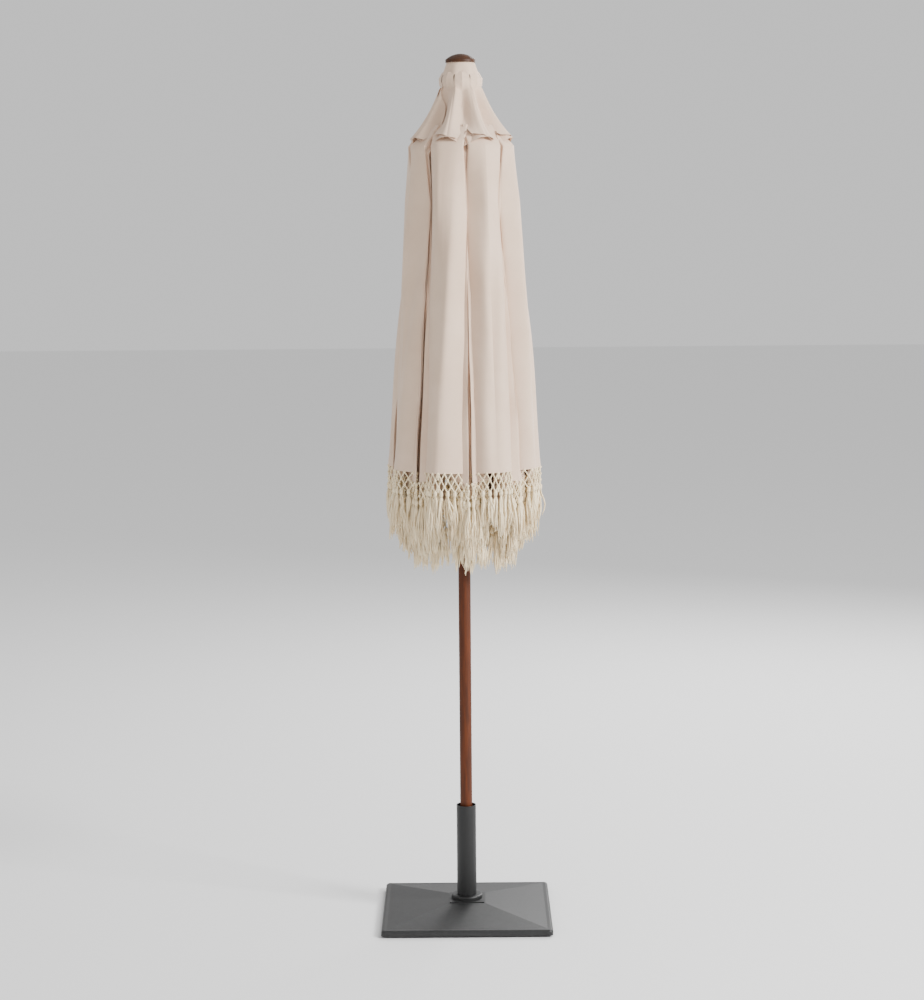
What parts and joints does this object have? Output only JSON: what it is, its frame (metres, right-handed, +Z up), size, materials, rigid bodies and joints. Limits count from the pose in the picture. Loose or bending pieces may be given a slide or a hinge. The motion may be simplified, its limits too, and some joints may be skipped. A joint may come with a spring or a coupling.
{
  "type": "patio umbrella with base",
  "caption": "Folding wooden patio umbrella with a fringed, vented fabric canopy, split pole and a square pyramid weighted base with a clamping tube",
  "frame": {"origin": "middle of the base's footprint, on the surface it stands on", "axes": "+Z up along the pole, -Y to the front"},
  "size_m": [0.5, 0.5, 2.54],
  "materials": {
    "canopy_fabric": "woven polyester canvas, matte",
    "frame_wood": "stained hardwood, satin varnish",
    "finial_wood": "dark stained turned wood",
    "base_concrete": "cast concrete",
    "base_resin": "faintly mottled moulded resin",
    "tube_paint": "black powder coat",
    "black_plastic": "moulded black plastic",
    "steel": "plated steel"
  },
  "bodies": {
    "base": {"base_shell": "base_resin", "base_ballast": "base_concrete", "base_feet": "black_plastic", "base_collar": "tube_paint", "base_tube": "tube_paint", "tube_bolt": "steel", "lock_boss": "tube_paint"},
    "lock_knob": {"lock_knob": "black_plastic"},
    "lock_screw": {"lock_screw": "steel"},
    "pole_cup": {"pole_cup": "black_plastic"},
    "pole_lower": {"pole_lower": "frame_wood", "pole_socket": "steel"},
    "pole_upper": {"pole_upper": "frame_wood", "pole_spigot": "steel", "hub_crown": "finial_wood", "hub_pins": "steel", "finial": "finial_wood", "finial_dowel": "steel"},
    "runner": {"runner": "finial_wood"},
    "stop_pin": {"stop_pin": "steel"},
    "rib_1": {"rib_1": "frame_wood"},
    "strut_1": {"strut_1": "frame_wood"},
    "canopy_face_1": {"canopy_face_1": "canopy_fabric"},
    "canopy_fold_1a": {"canopy_fold_1a": "canopy_fabric"},
    "canopy_fold_1b": {"canopy_fold_1b": "canopy_fabric"},
    "rib_2": {"rib_2": "frame_wood"},
    "strut_2": {"strut_2": "frame_wood"},
    "canopy_face_2": {"canopy_face_2": "canopy_fabric"},
    "canopy_fold_2a": {"canopy_fold_2a": "canopy_fabric"},
    "canopy_fold_2b": {"canopy_fold_2b": "canopy_fabric"},
    "rib_3": {"rib_3": "frame_wood"},
    "strut_3": {"strut_3": "frame_wood"},
    "canopy_face_3": {"canopy_face_3": "canopy_fabric"},
    "canopy_fold_3a": {"canopy_fold_3a": "canopy_fabric"},
    "canopy_fold_3b": {"canopy_fold_3b": "canopy_fabric"},
    "rib_4": {"rib_4": "frame_wood"},
    "strut_4": {"strut_4": "frame_wood"},
    "canopy_face_4": {"canopy_face_4": "canopy_fabric"},
    "canopy_fold_4a": {"canopy_fold_4a": "canopy_fabric"},
    "canopy_fold_4b": {"canopy_fold_4b": "canopy_fabric"},
    "rib_5": {"rib_5": "frame_wood"},
    "strut_5": {"strut_5": "frame_wood"},
    "canopy_face_5": {"canopy_face_5": "canopy_fabric"},
    "canopy_fold_5a": {"canopy_fold_5a": "canopy_fabric"},
    "canopy_fold_5b": {"canopy_fold_5b": "canopy_fabric"},
    "rib_6": {"rib_6": "frame_wood"},
    "strut_6": {"strut_6": "frame_wood"},
    "canopy_face_6": {"canopy_face_6": "canopy_fabric"},
    "canopy_fold_6a": {"canopy_fold_6a": "canopy_fabric"},
    "canopy_fold_6b": {"canopy_fold_6b": "canopy_fabric"},
    "rib_7": {"rib_7": "frame_wood"},
    "strut_7": {"strut_7": "frame_wood"},
    "canopy_face_7": {"canopy_face_7": "canopy_fabric"},
    "canopy_fold_7a": {"canopy_fold_7a": "canopy_fabric"},
    "canopy_fold_7b": {"canopy_fold_7b": "canopy_fabric"},
    "rib_8": {"rib_8": "frame_wood"},
    "strut_8": {"strut_8": "frame_wood"},
    "canopy_face_8": {"canopy_face_8": "canopy_fabric"},
    "canopy_fold_8a": {"canopy_fold_8a": "canopy_fabric"},
    "canopy_fold_8b": {"canopy_fold_8b": "canopy_fabric"}
  },
  "joints": [
    {"name": "pole_turn", "type": "hinge", "parent": "base", "child": "pole_cup", "pos_m": [0, 0, 0.062], "axis": [0, 0, 1], "continuous": true},
    {"name": "pole_lift", "type": "slide", "parent": "pole_cup", "child": "pole_lower", "axis": [0, 0, 1], "range_m": [0, 0.28]},
    {"name": "pole_split", "type": "slide", "parent": "pole_lower", "child": "pole_upper", "axis": [0, 0, 1], "range_m": [0, 0.12]},
    {"name": "lock_turn", "type": "hinge", "parent": "base", "child": "lock_knob", "pos_m": [0, 0.057, 0.27], "axis": [0, 1, 0], "range_deg": [0, 720]},
    {"name": "lock_travel", "type": "slide", "parent": "lock_knob", "child": "lock_screw", "axis": [0, 1, 0], "range_m": [0, 0.0061]},
    {"name": "canopy_open", "type": "hinge", "parent": "pole_upper", "child": "rib_1", "pos_m": [0.00237, -0.03392, 2.47], "axis": [-0.9976, -0.0698, 0], "range_deg": [0, 62]},
    {"name": "rib_2_hinge", "type": "hinge", "parent": "pole_upper", "child": "rib_2", "pos_m": [0.02566, -0.02231, 2.47], "axis": [-0.6561, -0.7547, 0], "range_deg": [0, 62]},
    {"name": "rib_3_hinge", "type": "hinge", "parent": "pole_upper", "child": "rib_3", "pos_m": [0.03392, 0.00237, 2.47], "axis": [0.0698, -0.9976, 0], "range_deg": [0, 62]},
    {"name": "rib_4_hinge", "type": "hinge", "parent": "pole_upper", "child": "rib_4", "pos_m": [0.02231, 0.02566, 2.47], "axis": [0.7547, -0.6561, 0], "range_deg": [0, 62]},
    {"name": "rib_5_hinge", "type": "hinge", "parent": "pole_upper", "child": "rib_5", "pos_m": [-0.00237, 0.03392, 2.47], "axis": [0.9976, 0.0698, 0], "range_deg": [0, 62]},
    {"name": "rib_6_hinge", "type": "hinge", "parent": "pole_upper", "child": "rib_6", "pos_m": [-0.02566, 0.02231, 2.47], "axis": [0.6561, 0.7547, 0], "range_deg": [0, 62]},
    {"name": "rib_7_hinge", "type": "hinge", "parent": "pole_upper", "child": "rib_7", "pos_m": [-0.03392, -0.00237, 2.47], "axis": [-0.0698, 0.9976, 0], "range_deg": [0, 62]},
    {"name": "rib_8_hinge", "type": "hinge", "parent": "pole_upper", "child": "rib_8", "pos_m": [-0.02231, -0.02566, 2.47], "axis": [-0.7547, 0.6561, 0], "range_deg": [0, 62]},
    {"name": "strut_1_hinge", "type": "hinge", "parent": "rib_1", "child": "strut_1", "pos_m": [0.00327, -0.04678, 1.97017], "axis": [-0.9976, -0.0698, 0], "range_deg": [-124, 0]},
    {"name": "strut_2_hinge", "type": "hinge", "parent": "rib_2", "child": "strut_2", "pos_m": [0.03539, -0.03077, 1.97017], "axis": [-0.6561, -0.7547, 0], "range_deg": [-124, 0]},
    {"name": "strut_3_hinge", "type": "hinge", "parent": "rib_3", "child": "strut_3", "pos_m": [0.04678, 0.00327, 1.97017], "axis": [0.0698, -0.9976, 0], "range_deg": [-124, 0]},
    {"name": "strut_4_hinge", "type": "hinge", "parent": "rib_4", "child": "strut_4", "pos_m": [0.03077, 0.03539, 1.97017], "axis": [0.7547, -0.6561, 0], "range_deg": [-124, 0]},
    {"name": "strut_5_hinge", "type": "hinge", "parent": "rib_5", "child": "strut_5", "pos_m": [-0.00327, 0.04678, 1.97017], "axis": [0.9976, 0.0698, 0], "range_deg": [-124, 0]},
    {"name": "strut_6_hinge", "type": "hinge", "parent": "rib_6", "child": "strut_6", "pos_m": [-0.03539, 0.03077, 1.97017], "axis": [0.6561, 0.7547, 0], "range_deg": [-124, 0]},
    {"name": "strut_7_hinge", "type": "hinge", "parent": "rib_7", "child": "strut_7", "pos_m": [-0.04678, -0.00327, 1.97017], "axis": [-0.0698, 0.9976, 0], "range_deg": [-124, 0]},
    {"name": "strut_8_hinge", "type": "hinge", "parent": "rib_8", "child": "strut_8", "pos_m": [-0.03077, -0.03539, 1.97017], "axis": [-0.7547, 0.6561, 0], "range_deg": [-124, 0]},
    {"name": "runner_hinge", "type": "hinge", "parent": "strut_1", "child": "runner", "pos_m": [0.00237, -0.03392, 1.47033], "axis": [-0.9976, -0.0698, 0], "range_deg": [0, 62]},
    {"name": "stop_pin_pull", "type": "slide", "parent": "runner", "child": "stop_pin", "axis": [0.4462, -0.8949, 0], "range_m": [0, 0.03]},
    {"name": "canopy_face_1_hinge", "type": "hinge", "parent": "pole_upper", "child": "canopy_face_1", "pos_m": [0.05437, -0.10904, 2.41931], "axis": [-0.8949, -0.4462, 0], "range_deg": [0, 60.16]},
    {"name": "canopy_fold_1a_hinge", "type": "hinge", "parent": "canopy_face_1", "child": "canopy_fold_1a", "pos_m": [0.16481, -0.08219, 2.40076], "axis": [-0.4669, 0.786, 0.4053], "range_deg": [0, 22.5]},
    {"name": "canopy_fold_1b_hinge", "type": "hinge", "parent": "canopy_face_1", "child": "canopy_fold_1b", "pos_m": [-0.03355, -0.18109, 2.40076], "axis": [0.3467, -0.8459, -0.4053], "range_deg": [0, 22.5]},
    {"name": "canopy_face_2_hinge", "type": "hinge", "parent": "pole_upper", "child": "canopy_face_2", "pos_m": [0.11555, -0.03866, 2.41931], "axis": [-0.3173, -0.9483, 0], "range_deg": [0, 60.16]},
    {"name": "canopy_fold_2a_hinge", "type": "hinge", "parent": "canopy_face_2", "child": "canopy_fold_2a", "pos_m": [0.17466, 0.05842, 2.40076], "axis": [-0.8859, 0.2256, 0.4054], "range_deg": [0, 22.5]},
    {"name": "canopy_fold_2b_hinge", "type": "hinge", "parent": "canopy_face_2", "child": "canopy_fold_2b", "pos_m": [0.10433, -0.15177, 2.40076], "axis": [0.8433, -0.3529, -0.4053], "range_deg": [0, 22.5]},
    {"name": "canopy_face_3_hinge", "type": "hinge", "parent": "pole_upper", "child": "canopy_face_3", "pos_m": [0.10904, 0.05437, 2.41931], "axis": [0.4462, -0.8949, 0], "range_deg": [0, 60.16]},
    {"name": "canopy_fold_3a_hinge", "type": "hinge", "parent": "canopy_face_3", "child": "canopy_fold_3a", "pos_m": [0.08219, 0.16481, 2.40076], "axis": [-0.786, -0.4669, 0.4053], "range_deg": [0, 22.5]},
    {"name": "canopy_fold_3b_hinge", "type": "hinge", "parent": "canopy_face_3", "child": "canopy_fold_3b", "pos_m": [0.18109, -0.03355, 2.40076], "axis": [0.8459, 0.3467, -0.4053], "range_deg": [0, 22.5]},
    {"name": "canopy_face_4_hinge", "type": "hinge", "parent": "pole_upper", "child": "canopy_face_4", "pos_m": [0.03866, 0.11555, 2.41931], "axis": [0.9483, -0.3173, 0], "range_deg": [0, 60.16]},
    {"name": "canopy_fold_4a_hinge", "type": "hinge", "parent": "canopy_face_4", "child": "canopy_fold_4a", "pos_m": [-0.05842, 0.17466, 2.40076], "axis": [-0.2256, -0.8859, 0.4054], "range_deg": [0, 22.5]},
    {"name": "canopy_fold_4b_hinge", "type": "hinge", "parent": "canopy_face_4", "child": "canopy_fold_4b", "pos_m": [0.15177, 0.10433, 2.40076], "axis": [0.3529, 0.8433, -0.4053], "range_deg": [0, 22.5]},
    {"name": "canopy_face_5_hinge", "type": "hinge", "parent": "pole_upper", "child": "canopy_face_5", "pos_m": [-0.05437, 0.10904, 2.41931], "axis": [0.8949, 0.4462, 0], "range_deg": [0, 60.16]},
    {"name": "canopy_fold_5a_hinge", "type": "hinge", "parent": "canopy_face_5", "child": "canopy_fold_5a", "pos_m": [-0.16481, 0.08219, 2.40076], "axis": [0.4669, -0.786, 0.4053], "range_deg": [0, 22.5]},
    {"name": "canopy_fold_5b_hinge", "type": "hinge", "parent": "canopy_face_5", "child": "canopy_fold_5b", "pos_m": [0.03355, 0.18109, 2.40076], "axis": [-0.3467, 0.8459, -0.4053], "range_deg": [0, 22.5]},
    {"name": "canopy_face_6_hinge", "type": "hinge", "parent": "pole_upper", "child": "canopy_face_6", "pos_m": [-0.11555, 0.03866, 2.41931], "axis": [0.3173, 0.9483, 0], "range_deg": [0, 60.16]},
    {"name": "canopy_fold_6a_hinge", "type": "hinge", "parent": "canopy_face_6", "child": "canopy_fold_6a", "pos_m": [-0.17466, -0.05842, 2.40076], "axis": [0.8859, -0.2256, 0.4054], "range_deg": [0, 22.5]},
    {"name": "canopy_fold_6b_hinge", "type": "hinge", "parent": "canopy_face_6", "child": "canopy_fold_6b", "pos_m": [-0.10433, 0.15177, 2.40076], "axis": [-0.8433, 0.3529, -0.4053], "range_deg": [0, 22.5]},
    {"name": "canopy_face_7_hinge", "type": "hinge", "parent": "pole_upper", "child": "canopy_face_7", "pos_m": [-0.10904, -0.05437, 2.41931], "axis": [-0.4462, 0.8949, 0], "range_deg": [0, 60.16]},
    {"name": "canopy_fold_7a_hinge", "type": "hinge", "parent": "canopy_face_7", "child": "canopy_fold_7a", "pos_m": [-0.08219, -0.16481, 2.40076], "axis": [0.786, 0.4669, 0.4053], "range_deg": [0, 22.5]},
    {"name": "canopy_fold_7b_hinge", "type": "hinge", "parent": "canopy_face_7", "child": "canopy_fold_7b", "pos_m": [-0.18109, 0.03355, 2.40076], "axis": [-0.8459, -0.3467, -0.4053], "range_deg": [0, 22.5]},
    {"name": "canopy_face_8_hinge", "type": "hinge", "parent": "pole_upper", "child": "canopy_face_8", "pos_m": [-0.03866, -0.11555, 2.41931], "axis": [-0.9483, 0.3173, 0], "range_deg": [0, 60.16]},
    {"name": "canopy_fold_8a_hinge", "type": "hinge", "parent": "canopy_face_8", "child": "canopy_fold_8a", "pos_m": [0.05842, -0.17466, 2.40076], "axis": [0.2256, 0.8859, 0.4054], "range_deg": [0, 22.5]},
    {"name": "canopy_fold_8b_hinge", "type": "hinge", "parent": "canopy_face_8", "child": "canopy_fold_8b", "pos_m": [-0.15177, -0.10433, 2.40076], "axis": [-0.3529, -0.8433, -0.4053], "range_deg": [0, 22.5]}
  ],
  "couplings": [
    {"joint": "lock_travel", "follows": "lock_turn", "m_per_rad": 0.0004775},
    {"joint": "rib_2_hinge", "follows": "canopy_open", "ratio": 1},
    {"joint": "rib_3_hinge", "follows": "canopy_open", "ratio": 1},
    {"joint": "rib_4_hinge", "follows": "canopy_open", "ratio": 1},
    {"joint": "rib_5_hinge", "follows": "canopy_open", "ratio": 1},
    {"joint": "rib_6_hinge", "follows": "canopy_open", "ratio": 1},
    {"joint": "rib_7_hinge", "follows": "canopy_open", "ratio": 1},
    {"joint": "rib_8_hinge", "follows": "canopy_open", "ratio": 1},
    {"joint": "strut_1_hinge", "follows": "canopy_open", "ratio": -2},
    {"joint": "strut_2_hinge", "follows": "canopy_open", "ratio": -2},
    {"joint": "strut_3_hinge", "follows": "canopy_open", "ratio": -2},
    {"joint": "strut_4_hinge", "follows": "canopy_open", "ratio": -2},
    {"joint": "strut_5_hinge", "follows": "canopy_open", "ratio": -2},
    {"joint": "strut_6_hinge", "follows": "canopy_open", "ratio": -2},
    {"joint": "strut_7_hinge", "follows": "canopy_open", "ratio": -2},
    {"joint": "strut_8_hinge", "follows": "canopy_open", "ratio": -2},
    {"joint": "runner_hinge", "follows": "canopy_open", "ratio": 1},
    {"joint": "canopy_face_1_hinge", "follows": "canopy_open", "ratio": 0.97029},
    {"joint": "canopy_fold_1a_hinge", "follows": "canopy_open", "ratio": 0.36287},
    {"joint": "canopy_fold_1b_hinge", "follows": "canopy_open", "ratio": 0.36287},
    {"joint": "canopy_face_2_hinge", "follows": "canopy_open", "ratio": 0.97029},
    {"joint": "canopy_fold_2a_hinge", "follows": "canopy_open", "ratio": 0.36287},
    {"joint": "canopy_fold_2b_hinge", "follows": "canopy_open", "ratio": 0.36287},
    {"joint": "canopy_face_3_hinge", "follows": "canopy_open", "ratio": 0.97029},
    {"joint": "canopy_fold_3a_hinge", "follows": "canopy_open", "ratio": 0.36287},
    {"joint": "canopy_fold_3b_hinge", "follows": "canopy_open", "ratio": 0.36287},
    {"joint": "canopy_face_4_hinge", "follows": "canopy_open", "ratio": 0.97029},
    {"joint": "canopy_fold_4a_hinge", "follows": "canopy_open", "ratio": 0.36287},
    {"joint": "canopy_fold_4b_hinge", "follows": "canopy_open", "ratio": 0.36287},
    {"joint": "canopy_face_5_hinge", "follows": "canopy_open", "ratio": 0.97029},
    {"joint": "canopy_fold_5a_hinge", "follows": "canopy_open", "ratio": 0.36287},
    {"joint": "canopy_fold_5b_hinge", "follows": "canopy_open", "ratio": 0.36287},
    {"joint": "canopy_face_6_hinge", "follows": "canopy_open", "ratio": 0.97029},
    {"joint": "canopy_fold_6a_hinge", "follows": "canopy_open", "ratio": 0.36287},
    {"joint": "canopy_fold_6b_hinge", "follows": "canopy_open", "ratio": 0.36287},
    {"joint": "canopy_face_7_hinge", "follows": "canopy_open", "ratio": 0.97029},
    {"joint": "canopy_fold_7a_hinge", "follows": "canopy_open", "ratio": 0.36287},
    {"joint": "canopy_fold_7b_hinge", "follows": "canopy_open", "ratio": 0.36287},
    {"joint": "canopy_face_8_hinge", "follows": "canopy_open", "ratio": 0.97029},
    {"joint": "canopy_fold_8a_hinge", "follows": "canopy_open", "ratio": 0.36287},
    {"joint": "canopy_fold_8b_hinge", "follows": "canopy_open", "ratio": 0.36287}
  ]
}
